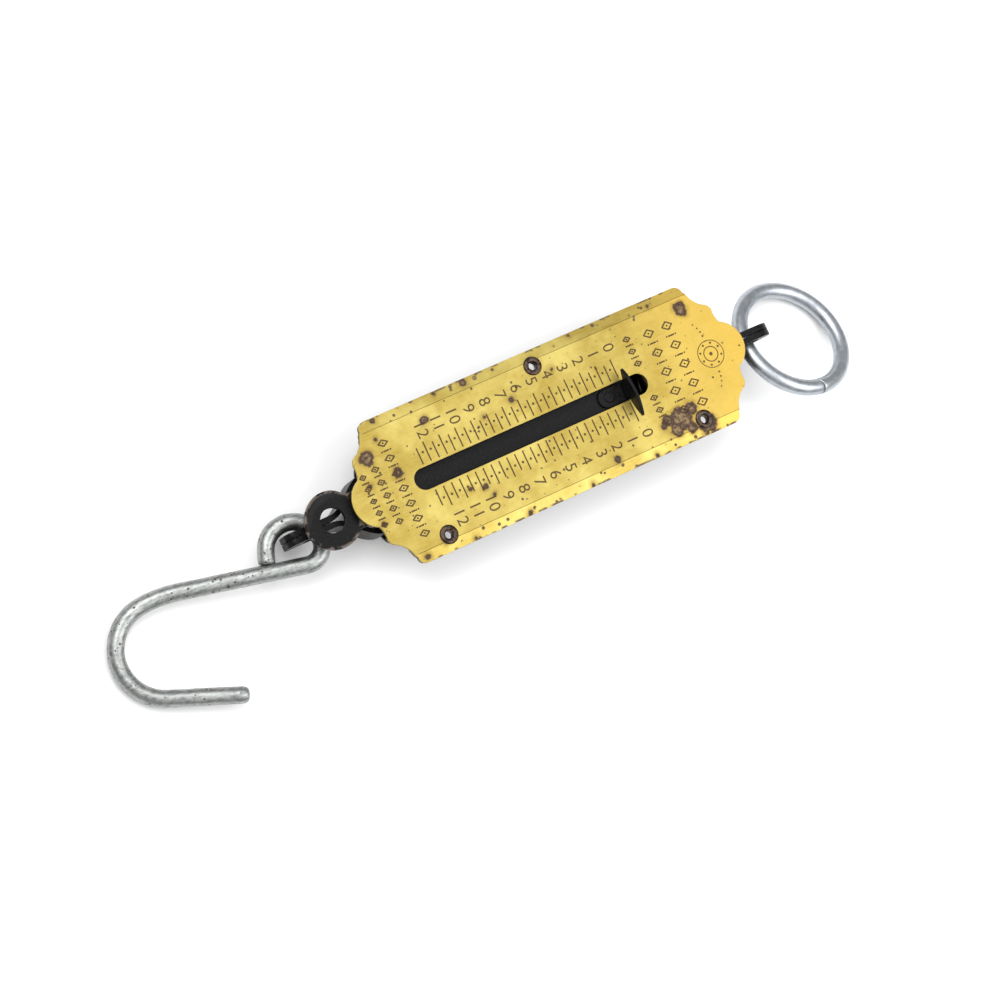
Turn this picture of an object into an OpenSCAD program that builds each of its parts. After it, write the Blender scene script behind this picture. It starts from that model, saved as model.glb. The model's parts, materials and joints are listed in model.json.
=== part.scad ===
// Pocket spring balance: a brass dial on a lacquered sheet-steel case, with a compression
// spring inside, a draw frame that carries the hook, and a ring to hold it up by.
// X runs along the balance towards the ring, Y across it, Z up out of the dial.
// The origin is the middle of the case's flat back.

/* [Dial] */
// Length of the dial over the two rounded end lobes
dial_l = 105.2; // [104:0.2:140]
// Width of the dial
dial_w = 35; // [32:0.5:45]
// Thickness of the dial sheet
dial_t = 0.8; // [0.6:0.1:1.2]
// Radius of the lobe at each end
lobe_r = 6.3; // [5.3:0.1:7.6]
// Radius of the four outer corners
corner_r = 2; // [1:0.1:3]
// Width of the strip along each long side that is bent down a little
strip_w = 2.5; // [2.2:0.1:3]
// Drop of that strip at its outer edge
strip_drop = 0.45; // [0.2:0.05:0.6]
// Width of the slot that the pointer travels in
slot_w = 5.1; // [4.3:0.1:6.2]
// Length of the slot beyond the zero mark
slot_past_zero = 6.3; // [5:0.1:8]
// Length of the slot beyond the last mark
slot_past_last = 3.7; // [3:0.1:5]

/* [Scale] */
// Distance between two half-kilo marks
mark_pitch = 2.1; // [1.6:0.05:2.15]
// Number of half-kilo steps
mark_steps = 25; // [20:1:25]
// Distance of the zero mark from the dial's ring-side tip
zero_in = 33.2; // [30:0.1:34]
// Outer end of a kilo mark, from the middle line
kilo_mark_y = 7.9; // [6.6:0.1:9.5]
// Outer end of a half-kilo mark, from the middle line
half_mark_y = 7.1; // [5.9:0.1:8.5]
// Width of a mark
mark_w = 0.3; // [0.2:0.05:0.4]
// Depth of a mark
mark_depth = 0.15; // [0.1:0.05:0.25]

/* [Case] */
// Distance of the case's hook-side end from the dial's tip
case_hook_in = 8; // [7:0.1:9]
// Distance of the case's ring-side end from the dial's tip
case_ring_in = 5.1; // [4.6:0.1:6.1]
// Radius of the trough's bottom corners outside
trough_r = 7.5; // [5:0.1:7.6]
// Thickness of the case sheet
sheet_t = 0.8; // [0.6:0.1:1]
// Room between the draw frame and the sides of the trough
side_room = 1.8; // [1.5:0.1:2.2]
// Room under the spring
floor_room = 1.4; // [1.2:0.1:2]
// Room above the spring
top_room = 0.7; // [0.5:0.1:1.5]
// Thickness of the two end plates
end_plate_t = 1.2; // [1:0.1:1.5]

/* [Eyelets] */
// Diameter of an eyelet's barrel
eyelet_d = 3.2; // [2.7:0.1:3.8]
// Diameter of the hole through an eyelet
eyelet_hole_d = 1.9; // [1.5:0.1:2.3]
// Diameter of an eyelet's head
eyelet_head_d = 4.5; // [4:0.1:5.4]
// Height of an eyelet's head
eyelet_head_h = 0.4; // [0.3:0.05:0.6]
// Distance of the eyelets from the dial's long edges
eyelet_in = 3.8; // [3.2:0.1:4.2]
// Distance of the two lower eyelets from the dial's tips
eyelet_end = 17.9; // [14:0.1:22]
// Place of the single upper eyelet along the dial
eyelet_top_x = 1.2; // [-5:0.1:5]

/* [Spring] */
// Diameter of the spring wire
wire_d = 1.4; // [1.1:0.1:1.4]
// Outer diameter of the spring
spring_d = 10.8; // [10:0.1:13.5]
// Number of turns, with one closed turn at each end
turns = 21; // [17:0.5:21]

/* [Draw frame] */
// Thickness of the draw frame's steel strip
leg_t = 1.4; // [1.1:0.1:1.7]
// Height of the draw frame's steel strip
leg_h = 8; // [7.6:0.1:8.8]
// Room between the spring and the legs
leg_room = 0.4; // [0.3:0.1:0.8]
// Gap between the two leaves of the tail
leaf_gap = 0.2; // [0.1:0.05:0.4]
// Distance of the hook's hole from the end of the case
hook_pivot_out = 15.9; // [15:0.1:18]
// Length of the tail beyond the hook's hole
tail_l = 7.5; // [6.8:0.1:8]
// Room around the hook's wire in its hole
hook_hole_room = 1.2; // [1.2:0.05:1.3]

/* [Pointer] */
// Width of the strip that lies under the slot
strip_width = 8.6; // [7.1:0.1:10.4]
// Thickness of that strip
pointer_strip_t = 1.2; // [1:0.1:1.4]
// Gap between that strip and the dial
strip_gap = 1.3; // [1.2:0.05:1.6]
// Outer diameter of the eye at the end of the strip
eye_d = 13.5; // [11.2:0.1:16.2]
// Diameter of the hole in that eye
eye_hole_d = 5.8; // [4.8:0.1:7]
// Distance of the eye's middle from the end of the case
eye_out = 12.9; // [11:0.1:16]
// Thickness of the pointer sheet
pointer_t = 0.8; // [0.6:0.1:0.9]
// Width of the upright pointer
pointer_w = 12.1; // [10:0.1:14.6]
// Height of the upright pointer's oval
pointer_h = 4.3; // [3.5:0.1:5.2]
// Sideways set of the oval from the middle line
pointer_side = -1.3; // [-1.5:0.1:1.5]

/* [Ring and hanger] */
// Middle radius of the ring
ring_r = 13.9; // [11.6:0.1:16.7]
// Diameter of the ring's wire
ring_wire_d = 3.9; // [3.2:0.1:4]
// Distance of the ring's hole from the end of the case
ring_pivot_out = 8.5; // [8:0.1:10.2]
// Room around the ring's wire in its hole
ring_hole_room = 1.45; // [1.4:0.05:1.5]
// Height of the hanger's strip
hanger_h = 9.6; // [9.4:0.1:10]
// Length of the hanger beyond the ring's hole
hanger_tip = 6.3; // [5.8:0.1:7.5]
// Distance of the hanger's legs outside, from the middle line, where they enter the case
hanger_leg_y = 3.9; // [3.6:0.1:4.4]

/* [Hook] */
// Diameter of the hook's wire
hook_wire_d = 4.1; // [3.4:0.1:4.2]
// Radius of the hook's big bend
bend_r = 11; // [9.2:0.1:13.2]
// Length of the straight leg that ends in the hook's tip
tip_l = 18.2; // [10:0.1:22]
// Length of the straight shank
shank_l = 30.2; // [25:0.1:42]
// Radius of the outer part of the hook's eye
hook_eye_r = 6.5; // [6.2:0.1:6.7]
// Radius of the bend from the shank into the eye
eye_bend_r = 4.3; // [4:0.1:4.5]
// Slope of the resting hook, in degrees
hook_slope = 5.9; // [4:0.1:5.9]

/* [Hidden] */
$fn = 64;
eps = 0.5;

// Dial outline: one end, from the side edge to the tip
tip_x = dial_l / 2;
lobe_cx = tip_x - lobe_r;
side_x = tip_x - 9;
crease_x = tip_x - 8.6;
crease_y = dial_w / 2 - strip_w;
bump_x = tip_x - 4.5;
bump_y = dial_w / 2 - 7.6;
bump_r = 0.7;
neck_a = 66;
hollow_sag = 0.7;
notch_sag = 0.3;

// Scale and slot, from the hook side to the ring side
zero_x = tip_x - zero_in;
travel = mark_pitch * mark_steps;
slot_ring_x = zero_x + slot_past_zero;
slot_hook_x = zero_x - travel - slot_past_last;
mark_inner_y = slot_w / 2 + 0.6;

// Ends of the case
case_hook_x = case_hook_in - tip_x;
case_ring_x = tip_x - case_ring_in;

// Draw frame legs and the trough around them
leg_in = spring_d / 2 + leg_room;
leg_y = leg_in + leg_t;
trough_w = 2 * (leg_y + side_room + sheet_t);

// Heights
draw_z = sheet_t + floor_room + spring_d / 2;
strip_z = draw_z + spring_d / 2 + top_room;
strip_top = strip_z + pointer_strip_t;
case_h = strip_top + strip_gap;
dial_top = case_h + dial_t;

// The flanges follow the dial's bent side strips and stop a little short of its edges
flange_in = 0.4;
flange_y = dial_w / 2 - flange_in;
flange_drop = strip_drop * (flange_y - crease_y) / strip_w;

// Eyelets, whose rolled lower ends reach past the bent part of the flange
eyelet_y = dial_w / 2 - eyelet_in;
eyelet_x = tip_x - eyelet_end;
eyelet_grip = dial_t + sheet_t + 0.2;

// Spring and its seats
spring_r = (spring_d - wire_d) / 2;
plate_in = 1;
seat_x = case_hook_x + plate_in;
spring_x0 = seat_x + end_plate_t;
cap_t = 1.2;
end_room = 1.2;
frame_end_x = case_ring_x - end_plate_t - leg_t - end_room;
cross_x = frame_end_x - leg_t;
spring_x1 = cross_x - cap_t;
boss_d = spring_d - 2 * wire_d - 1.2;
boss_l = 4;
end_plate_top = strip_z - 0.5;
leg_play = 0.3;
rivet_d = 2;

// Draw frame tail
bend_x = case_hook_x - 1.5;
hook_pivot_x = case_hook_x - hook_pivot_out;
hook_hole_r = hook_wire_d / 2 + hook_hole_room;
joined_x = hook_pivot_x + hook_hole_r + 0.6;
tail_x = hook_pivot_x - tail_l;

// Arms of the pointer strip and the tabs of the legs that hold them; at full draw the arms
// stop short of the spring's seat
arm_room = 1.9;
arm_x = spring_x0 + travel + arm_room;
arm_l = 5;
arm_y = leg_y + 1;
tab_l = 3;
eye_x = case_hook_x - eye_out;

// Pointer, whose hook-side face reads zero, and its foot
pointer_x = zero_x + pointer_t / 2;
foot_l = 6.8;
foot_w = slot_w - 0.6;
foot_rivet_x = pointer_x - foot_l / 2 - 0.6;
oval_z = dial_top + 0.7;

// Hanger
ring_pivot_x = case_ring_x + ring_pivot_out;
ring_pivot_z = case_h - 1.2 - hanger_h / 2;
ring_hole_r = ring_wire_d / 2 + ring_hole_room;
hanger_x = ring_pivot_x + hanger_tip;
hanger_join_x = ring_pivot_x - 2;
foot_y = hanger_leg_y + 3.5;
feet_x = case_ring_x - end_plate_t - leg_t;
hanger_rivet_y = hanger_leg_y + 1.8;

// Ring pose at rest
ring_pitch = 16.8;
ring_roll = -14.5;
ring_drop = 0.25;
ring_aside = 4.3;

function arc(c, r, a0, a1, n) = [for (i = [0 : n]) let (a = a0 + (a1 - a0) * i / n)
    [c[0] + r * cos(a), c[1] + r * sin(a)]];

// Points of a shallow arc from p to q that bows by sag to the left of the way from p to q
function bow(p, q, sag, n) = let (d = q - p, l = norm(d), s = [-d[1], d[0]] / l)
    [for (i = [1 : n - 1]) let (t = i / n) p + d * t + s * sag * 4 * t * (1 - t)];

function reversed(pts) = [for (i = [len(pts) - 1 : -1 : 0]) pts[i]];
function flip_x(pts) = [for (p = reversed(pts)) [-p[0], p[1]]];
function flip_y(pts) = [for (p = reversed(pts)) [p[0], -p[1]]];

lobe_start = [lobe_cx + lobe_r * cos(neck_a), lobe_r * sin(neck_a)];
crease_point = [crease_x, crease_y];
bump_in = [bump_x - bump_r * 0.6, bump_y + bump_r];
bump_out = [bump_x + bump_r * 0.5, bump_y - bump_r];
// A quarter of the outline, from the tip round to the side edge
quarter = concat(
    arc([lobe_cx, 0], lobe_r, 0, neck_a, 14),
    bow(lobe_start, bump_out, notch_sag, 4),
    [bump_out, [bump_x, bump_y + bump_r * 0.2], bump_in],
    bow(bump_in, crease_point, hollow_sag, 6),
    [crease_point],
    arc([side_x - corner_r, dial_w / 2 - corner_r], corner_r, 0, 90, 6));

// S-shaped path between two offsets, as points [x, y] from (x0, y0) to (x1, y1)
function ease(x0, y0, x1, y1, n) = [for (i = [0 : n]) let (t = i / n)
    [x0 + (x1 - x0) * t, y0 + (y1 - y0) * (1 - cos(180 * t)) / 2]];

module mirrored_y() {
    children();
    mirror([0, 1, 0]) children();
}

module dial_outline() {
    half = concat(quarter, flip_x(quarter));
    polygon(concat(half, flip_y(half)));
}

// Section across the dial, with its two bent side strips
module dial_section() {
    h = dial_w / 2;
    polygon([[-h, -strip_drop], [-crease_y, 0], [crease_y, 0], [h, -strip_drop],
        [h, dial_t - strip_drop], [crease_y, dial_t], [-crease_y, dial_t], [-h, dial_t - strip_drop]]);
}

module slot_cut() {
    r = slot_w / 2;
    for (x = [slot_hook_x + r, slot_ring_x - r])
        translate([x, 0, -eps]) cylinder(h = dial_t + 2 * eps, r = r);
    translate([slot_hook_x + r, -r, -eps])
        cube([slot_ring_x - slot_hook_x - slot_w, slot_w, dial_t + 2 * eps]);
}

module scale_marks() {
    for (i = [0 : mark_steps]) {
        outer = i % 2 == 0 ? kilo_mark_y : half_mark_y;
        mirrored_y() translate([zero_x - i * mark_pitch - mark_w / 2, mark_inner_y, dial_t - mark_depth])
            cube([mark_w, outer - mark_inner_y, mark_depth + eps]);
    }
}

module at_eyelets(dz = 0) {
    translate([eyelet_top_x, eyelet_y, dz]) children();
    for (x = [-eyelet_x, eyelet_x]) translate([x, -eyelet_y, dz]) children();
}

module dial_plate() {
    color("gold") translate([0, 0, case_h]) difference() {
        intersection() {
            translate([0, 0, -strip_drop - eps]) linear_extrude(height = dial_t + strip_drop + 2 * eps)
                dial_outline();
            rotate([90, 0, 90]) translate([0, 0, -tip_x - eps])
                linear_extrude(height = dial_l + 2 * eps) dial_section();
        }
        slot_cut();
        scale_marks();
        at_eyelets(-strip_drop - eps) cylinder(h = dial_t + strip_drop + 2 * eps, d = eyelet_d);
    }
}

// Half of the trough's outline seen along X, from the middle of its floor up to a height
function trough_side(inset, top) = let (h = trough_w / 2 - inset, r = trough_r - inset)
    concat(arc([h - r, inset + r], r, -90, 0, 16), [[h, top]]);

module trough_section(inset, top) {
    side = trough_side(inset, top);
    polygon(concat(side, flip_x(side)));
}

// Trough and flanges as one bent sheet
module case_section() {
    outside = concat(trough_side(0, case_h - sheet_t), [[crease_y, case_h - sheet_t],
        [flange_y, case_h - sheet_t - flange_drop], [flange_y, case_h - flange_drop],
        [crease_y, case_h]]);
    inside = trough_side(sheet_t, case_h);
    polygon(concat(flip_x(outside), outside, reversed(inside), reversed(flip_x(inside))));
}

module along_x(x0, x1) {
    translate([x0, 0, 0]) rotate([90, 0, 90]) linear_extrude(height = x1 - x0) children();
}

// The corners of the flanges follow the dial's outline
module case_shell() {
    color("dimgray") difference() {
        intersection() {
            along_x(case_hook_x, case_ring_x) case_section();
            translate([0, 0, -eps]) linear_extrude(height = case_h + 2 * eps) dial_outline();
        }
        at_eyelets(case_h - sheet_t - strip_drop - eps)
            cylinder(h = sheet_t + strip_drop + 2 * eps, d = eyelet_d);
    }
}

// Eyelet with its axis at the origin and the top of the dial at z = 0
module eyelet() {
    head = eyelet_head_d / 2;
    barrel = eyelet_d / 2;
    bore = eyelet_hole_d / 2;
    top = eyelet_head_h;
    color("darkslategray") rotate_extrude() polygon([[bore, top], [barrel, top], [head - 0.15, top * 0.6],
        [head, 0], [barrel, 0], [barrel, -eyelet_grip], [head - 0.2, -eyelet_grip],
        [barrel, -eyelet_grip - top], [bore, -eyelet_grip - top]]);
}

module eyelet_top() {
    translate([eyelet_top_x, eyelet_y, dial_top]) eyelet();
}

module eyelet_low_hook() {
    translate([-eyelet_x, -eyelet_y, dial_top]) eyelet();
}

module eyelet_low_ring() {
    translate([eyelet_x, -eyelet_y, dial_top]) eyelet();
}

// Plate that closes the hook end of the trough; the legs of the draw frame pass through it
module hook_end_plate() {
    color("slategray") difference() {
        along_x(seat_x, seat_x + end_plate_t) trough_section(sheet_t, end_plate_top);
        mirrored_y() translate([seat_x - eps, leg_in - leg_play, draw_z - leg_h / 2 - leg_play])
            cube([end_plate_t + 2 * eps, leg_t + 2 * leg_play, leg_h + 2 * leg_play]);
        translate([seat_x - eps, 0, draw_z]) rotate([0, 90, 0])
            cylinder(h = end_plate_t + 2 * eps, d = rivet_d);
    }
}

// Stud that keeps the hook-side end of the spring in the middle
module seat_boss() {
    color("lightslategray") translate([seat_x, 0, draw_z]) rotate([0, 90, 0]) {
        cylinder(h = end_plate_t, d = rivet_d);
        translate([0, 0, end_plate_t]) cylinder(h = boss_l, d = boss_d);
    }
}

// Plate across the ring end of the trough, which the hanger pulls on
module ring_end_plate() {
    x = case_ring_x - end_plate_t;
    color("slategray") difference() {
        along_x(x, case_ring_x) trough_section(sheet_t, case_h);
        mirrored_y() translate([x - eps, hanger_leg_y - leg_t, ring_pivot_z - hanger_h / 2])
            cube([end_plate_t + 2 * eps, leg_t, hanger_h]);
        mirrored_y() translate([x - eps, hanger_rivet_y, ring_pivot_z]) rotate([0, 90, 0])
            cylinder(h = end_plate_t + 2 * eps, d = rivet_d);
    }
}

// Folded strip: two leaves side by side at the tip, feet turned out behind the end plate
module hanger_outline() {
    lo = leaf_gap / 2;
    leg_x = case_ring_x + 1.5;
    leg_in_y = hanger_leg_y - leg_t;
    inside = concat([[feet_x, leg_in_y]], ease(leg_x, leg_in_y, hanger_join_x, lo, 8),
        [[hanger_x - leg_t, lo]]);
    outside = concat([[feet_x, foot_y], [feet_x + leg_t, foot_y], [feet_x + leg_t, hanger_leg_y]],
        ease(leg_x, hanger_leg_y, hanger_join_x, lo + leg_t, 8), [[hanger_x, lo + leg_t]]);
    polygon(concat(outside, flip_y(outside), reversed(flip_y(inside)), reversed(inside)));
}

module hanger() {
    color("dimgray") difference() {
        intersection() {
            translate([0, 0, ring_pivot_z - hanger_h / 2]) linear_extrude(height = hanger_h)
                hanger_outline();
            union() {
                translate([hanger_x - hanger_h / 2, 0, ring_pivot_z]) rotate([90, 0, 0])
                    cylinder(h = 2 * foot_y + 2, d = hanger_h, center = true);
                translate([feet_x - eps, -foot_y - 1, ring_pivot_z - hanger_h / 2])
                    cube([hanger_x - hanger_h / 2 - feet_x + eps, 2 * foot_y + 2, hanger_h]);
            }
        }
        translate([ring_pivot_x, 0, ring_pivot_z]) rotate([90, 0, 0])
            cylinder(h = 2 * foot_y, r = ring_hole_r, center = true);
        mirrored_y() translate([feet_x - eps, hanger_rivet_y, ring_pivot_z]) rotate([0, 90, 0])
            cylinder(h = leg_t + 2 * eps, d = rivet_d);
    }
}

module hanger_rivet(side) {
    color("gray") translate([feet_x, side * hanger_rivet_y, ring_pivot_z]) rotate([0, 90, 0]) {
        cylinder(h = leg_t + end_plate_t, d = rivet_d);
        translate([0, 0, leg_t + end_plate_t]) cylinder(h = 0.6, d1 = 3.2, d2 = 2.2);
    }
}

module hanger_rivet_upper() {
    hanger_rivet(1);
}

module hanger_rivet_lower() {
    hanger_rivet(-1);
}

// Compression spring with one closed turn at each end
spring_rings = 14;
spring_sides = 6;
// The wire is drawn a little thin and the ends a little short, so closed turns only just clear
wire_part = 0.97;
end_gap = 0.02;
spring_l = spring_x1 - spring_x0;
open_pitch = (spring_l - 3 * wire_d) / (turns - 2);
function coil_x(t) = t < 1 ? wire_d * t
    : t > turns - 1 ? spring_l - wire_d - wire_d * (turns - t)
    : wire_d + open_pitch * (t - 1);

module main_spring() {
    rings = turns * spring_rings;
    points = [for (i = [0 : rings]) let (t = i / spring_rings, a = 360 * t,
        x = spring_x0 + wire_d / 2 + end_gap + coil_x(t) * (1 - 2 * end_gap / spring_l))
        for (j = [0 : spring_sides - 1]) let (b = 360 * j / spring_sides,
            r = spring_r + wire_d / 2 * cos(b) * wire_part)
            [x + wire_d / 2 * sin(b) * wire_part, r * cos(a), draw_z + r * sin(a)]];
    skin = [for (i = [0 : rings - 1]) for (j = [0 : spring_sides - 1])
        let (k = (j + 1) % spring_sides, p = i * spring_sides, q = p + spring_sides)
        [p + j, p + k, q + k, q + j]];
    last = rings * spring_sides;
    color("silver") polyhedron(points, concat(skin,
        [[for (j = [spring_sides - 1 : -1 : 0]) j]], [[for (j = [0 : spring_sides - 1]) last + j]]),
        convexity = 10);
}

// U-shaped strip: a crosspiece on the ring side of the spring, two legs, and a two-leaf tail
module draw_frame() {
    lo = leaf_gap / 2;
    inner = ease(bend_x, leg_in, joined_x, lo, 12);
    outer = ease(bend_x, leg_y, joined_x, lo + leg_t, 12);
    tail_r = 2;
    z0 = draw_z - leg_h / 2;
    color("dimgray") {
        difference() {
            intersection() {
                translate([0, 0, z0]) linear_extrude(height = leg_h) {
                    mirrored_y() polygon(concat([[cross_x, leg_in]], inner, [[tail_x, lo], [tail_x, lo + leg_t]],
                        [for (i = [len(outer) - 1 : -1 : 0]) outer[i]], [[cross_x, leg_y]]));
                    translate([cross_x, -leg_y]) square([leg_t, 2 * leg_y]);
                }
                union() {
                    for (z = [z0 + tail_r, z0 + leg_h - tail_r]) translate([tail_x + tail_r, 0, z])
                        rotate([90, 0, 0]) cylinder(h = 2 * leg_y + 2, r = tail_r, center = true);
                    translate([tail_x, -leg_y - 1, z0 + tail_r])
                        cube([tail_r + eps, 2 * leg_y + 2, leg_h - 2 * tail_r]);
                    translate([tail_x + tail_r, -leg_y - 1, z0])
                        cube([frame_end_x - tail_x, 2 * leg_y + 2, leg_h]);
                }
            }
            translate([hook_pivot_x, 0, draw_z]) rotate([90, 0, 0])
                cylinder(h = 2 * leg_y, r = hook_hole_r, center = true);
            translate([cross_x - eps, 0, draw_z]) rotate([0, 90, 0])
                cylinder(h = leg_t + 2 * eps, d = rivet_d);
        }
        mirrored_y() translate([arm_x + (arm_l - tab_l) / 2, leg_in, draw_z])
            cube([tab_l, leg_t, strip_top - draw_z]);
    }
}

// Stepped washer that the ring-side end of the spring pushes on
module spring_cap() {
    color("lightslategray") translate([spring_x1 - boss_l, 0, draw_z]) rotate([0, 90, 0]) difference() {
        union() {
            cylinder(h = boss_l, d = boss_d);
            translate([0, 0, boss_l]) cylinder(h = cap_t, d = spring_d);
        }
        translate([0, 0, -eps]) cylinder(h = boss_l + cap_t + 2 * eps, d = rivet_d);
    }
}

module cap_rivet() {
    color("gray") translate([spring_x1 - boss_l, 0, draw_z]) rotate([0, 90, 0]) {
        cylinder(h = boss_l + cap_t + leg_t, d = rivet_d);
        translate([0, 0, -0.6]) cylinder(h = 0.6, d1 = 2.2, d2 = 3.4);
        translate([0, 0, boss_l + cap_t + leg_t]) cylinder(h = 0.5, d1 = 3.4, d2 = 2.4);
    }
}

// Strip under the slot: an eye outside the case, a long tongue and two arms held by the legs
module pointer_strip() {
    color("black") translate([0, 0, strip_z]) difference() {
        linear_extrude(height = pointer_strip_t) {
            translate([eye_x, 0]) circle(d = eye_d);
            translate([eye_x, -strip_width / 2])
                square([pointer_x + pointer_t + 0.6 - eye_x, strip_width]);
            translate([arm_x, -arm_y]) square([arm_l, 2 * arm_y]);
        }
        translate([eye_x, 0, -eps]) cylinder(h = pointer_strip_t + 2 * eps, d = eye_hole_d);
        mirrored_y() translate([arm_x + (arm_l - tab_l) / 2, leg_in, -eps])
            cube([tab_l, leg_t, pointer_strip_t + 2 * eps]);
        translate([foot_rivet_x, 0, -eps]) cylinder(h = pointer_strip_t + 2 * eps, d = rivet_d);
    }
}

// Bent sheet: a foot on the strip, a stem up through the slot, and an oval across the dial
module pointer() {
    side = (pow(pointer_w / 2, 2) + pow(pointer_h / 2, 2)) / pointer_h;
    color("black") {
        difference() {
            translate([0, 0, strip_top]) linear_extrude(height = pointer_t) {
                translate([pointer_x - foot_l + foot_w / 2, 0]) circle(d = foot_w);
                translate([pointer_x - foot_l + foot_w / 2, -foot_w / 2])
                    square([foot_l - foot_w / 2 + pointer_t / 2, foot_w]);
            }
            translate([foot_rivet_x, 0, strip_top - eps])
                cylinder(h = pointer_t + 2 * eps, d = rivet_d);
        }
        translate([pointer_x - pointer_t / 2, -foot_w / 2, strip_top])
            cube([pointer_t, foot_w, oval_z - strip_top + pointer_h / 2]);
        translate([pointer_x - pointer_t / 2, pointer_side, oval_z + pointer_h / 2])
            rotate([0, 90, 0]) linear_extrude(height = pointer_t) intersection() {
                translate([side - pointer_h / 2, 0]) circle(r = side, $fn = 160);
                translate([pointer_h / 2 - side, 0]) circle(r = side, $fn = 160);
            }
    }
}

module pointer_rivet() {
    color("gray") translate([foot_rivet_x, 0, strip_z]) {
        cylinder(h = pointer_strip_t + pointer_t, d = rivet_d);
        translate([0, 0, pointer_strip_t + pointer_t])
            cylinder(h = strip_gap - pointer_t - 0.25, d1 = 2.8, d2 = 2.2);
    }
}

// Direction from the ring's wire in the hanger to the ring's middle, in the ring's own plane
ring_side = asin(ring_aside / (ring_r * cos(ring_roll)));
ring_mid = ring_r * [cos(ring_side) * cos(ring_pitch) - sin(ring_side) * sin(ring_roll) * sin(ring_pitch),
    -sin(ring_side) * cos(ring_roll),
    -cos(ring_side) * sin(ring_pitch) - sin(ring_side) * sin(ring_roll) * cos(ring_pitch)];

module suspension_ring() {
    color("lightgray") translate([ring_pivot_x, 0, ring_pivot_z - ring_drop] + ring_mid)
        rotate([ring_roll, ring_pitch, 0]) rotate_extrude()
            translate([ring_r, 0]) circle(d = ring_wire_d, $fn = 32);
}

// The hook's wire as steps of [straight length, turn angle, turn radius]: from the tip to the far
// side of the eye, and from there back to the shank
shank_a = -12.46;
bend_a = -151.2;
slow_bend_a = -19.5;
slow_bend_r = 26.5;
eye_back_a = 161;
eye_end_l = 4.25 - hook_wire_d / 2;
start_a = shank_a - bend_a - slow_bend_a;
front_path = [[tip_l, bend_a, bend_r], [0, slow_bend_a, slow_bend_r], [shank_l, 90 - shank_a, eye_bend_r]];
eye_path = [[0, eye_back_a, hook_eye_r], [eye_end_l, 0, 0]];
turn_step = 10;
wire_sides = 16;

// Middle of a turn that starts at p with heading a
function turn_mid(p, a, step) = p + sign(step[1]) * step[2] * [-sin(a), cos(a)];
// Poses [place, heading] along one step: the end of its straight length, then its turn
function step_poses(p, a, step) = let (q = p + step[0] * [cos(a), sin(a)],
    n = ceil(abs(step[1]) / turn_step), c = turn_mid(q, a, step))
    concat(step[0] > 0 ? [[q, a]] : [], [for (i = [1 : 1 : n]) let (b = a + step[1] * i / n)
        [c - sign(step[1]) * step[2] * [-sin(b), cos(b)], b]]);
function path_poses(path, i, p, a) = i == len(path) ? []
    : let (now = step_poses(p, a, path[i]), end = now[len(now) - 1])
    concat(now, path_poses(path, i + 1, end[0], end[1]));
front_poses = path_poses(front_path, 0, [0, 0], start_a);
eye_far = front_poses[len(front_poses) - 1];
hook_poses = concat([[[0, 0], start_a]], front_poses, path_poses(eye_path, 0, eye_far[0], eye_far[1]));

// The far side of the eye stands this far from the pivot, towards the case and to one side
eye_play = 0.75;
eye_aside = 2.2;
hook_shift = [eye_play, -eye_aside] - eye_far[0];

// Round wire along the poses, which all lie in one plane
module swept_wire(poses, d, sides) {
    n = len(poses);
    points = [for (pose = poses) for (j = [0 : sides - 1]) let (b = 360 * j / sides)
        [pose[0][0] - d / 2 * cos(b) * sin(pose[1]), pose[0][1] + d / 2 * cos(b) * cos(pose[1]),
        -d / 2 * sin(b)]];
    skin = [for (i = [0 : n - 2]) for (j = [0 : sides - 1])
        let (k = (j + 1) % sides, p = i * sides, q = p + sides) [p + j, p + k, q + k, q + j]];
    polyhedron(points, concat(skin, [[for (j = [sides - 1 : -1 : 0]) j]],
        [[for (j = [0 : sides - 1]) (n - 1) * sides + j]]), convexity = 10);
}

module load_hook() {
    color("silver") translate([hook_pivot_x, 0, draw_z]) rotate([0, -hook_slope, 0])
        translate([hook_shift[0], hook_shift[1], 0]) swept_wire(hook_poses, hook_wire_d, wire_sides);
}

dial_plate();
case_shell();
eyelet_top();
eyelet_low_hook();
eyelet_low_ring();
hook_end_plate();
seat_boss();
ring_end_plate();
hanger();
hanger_rivet_upper();
hanger_rivet_lower();
main_spring();
draw_frame();
spring_cap();
cap_rivet();
pointer_strip();
pointer();
pointer_rivet();
suspension_ring();
load_hook();
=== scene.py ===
# %% [markdown]
# # A pocket spring balance, built around its engineering model
#
# The engineering model holds the real sizes and everything that moves. This lesson gives it its
# looks in Blender: stamped brass, chipped black lacquer, bright and dull zinc wire. Every piece is
# made in the model's own frame, in metres, so nothing has to be fitted afterwards. X runs from the
# hook to the ring, Y across the dial and Z out of it.

# %% Load the frame
import json
import math

import bpy
from mathutils import Matrix, Vector

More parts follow.
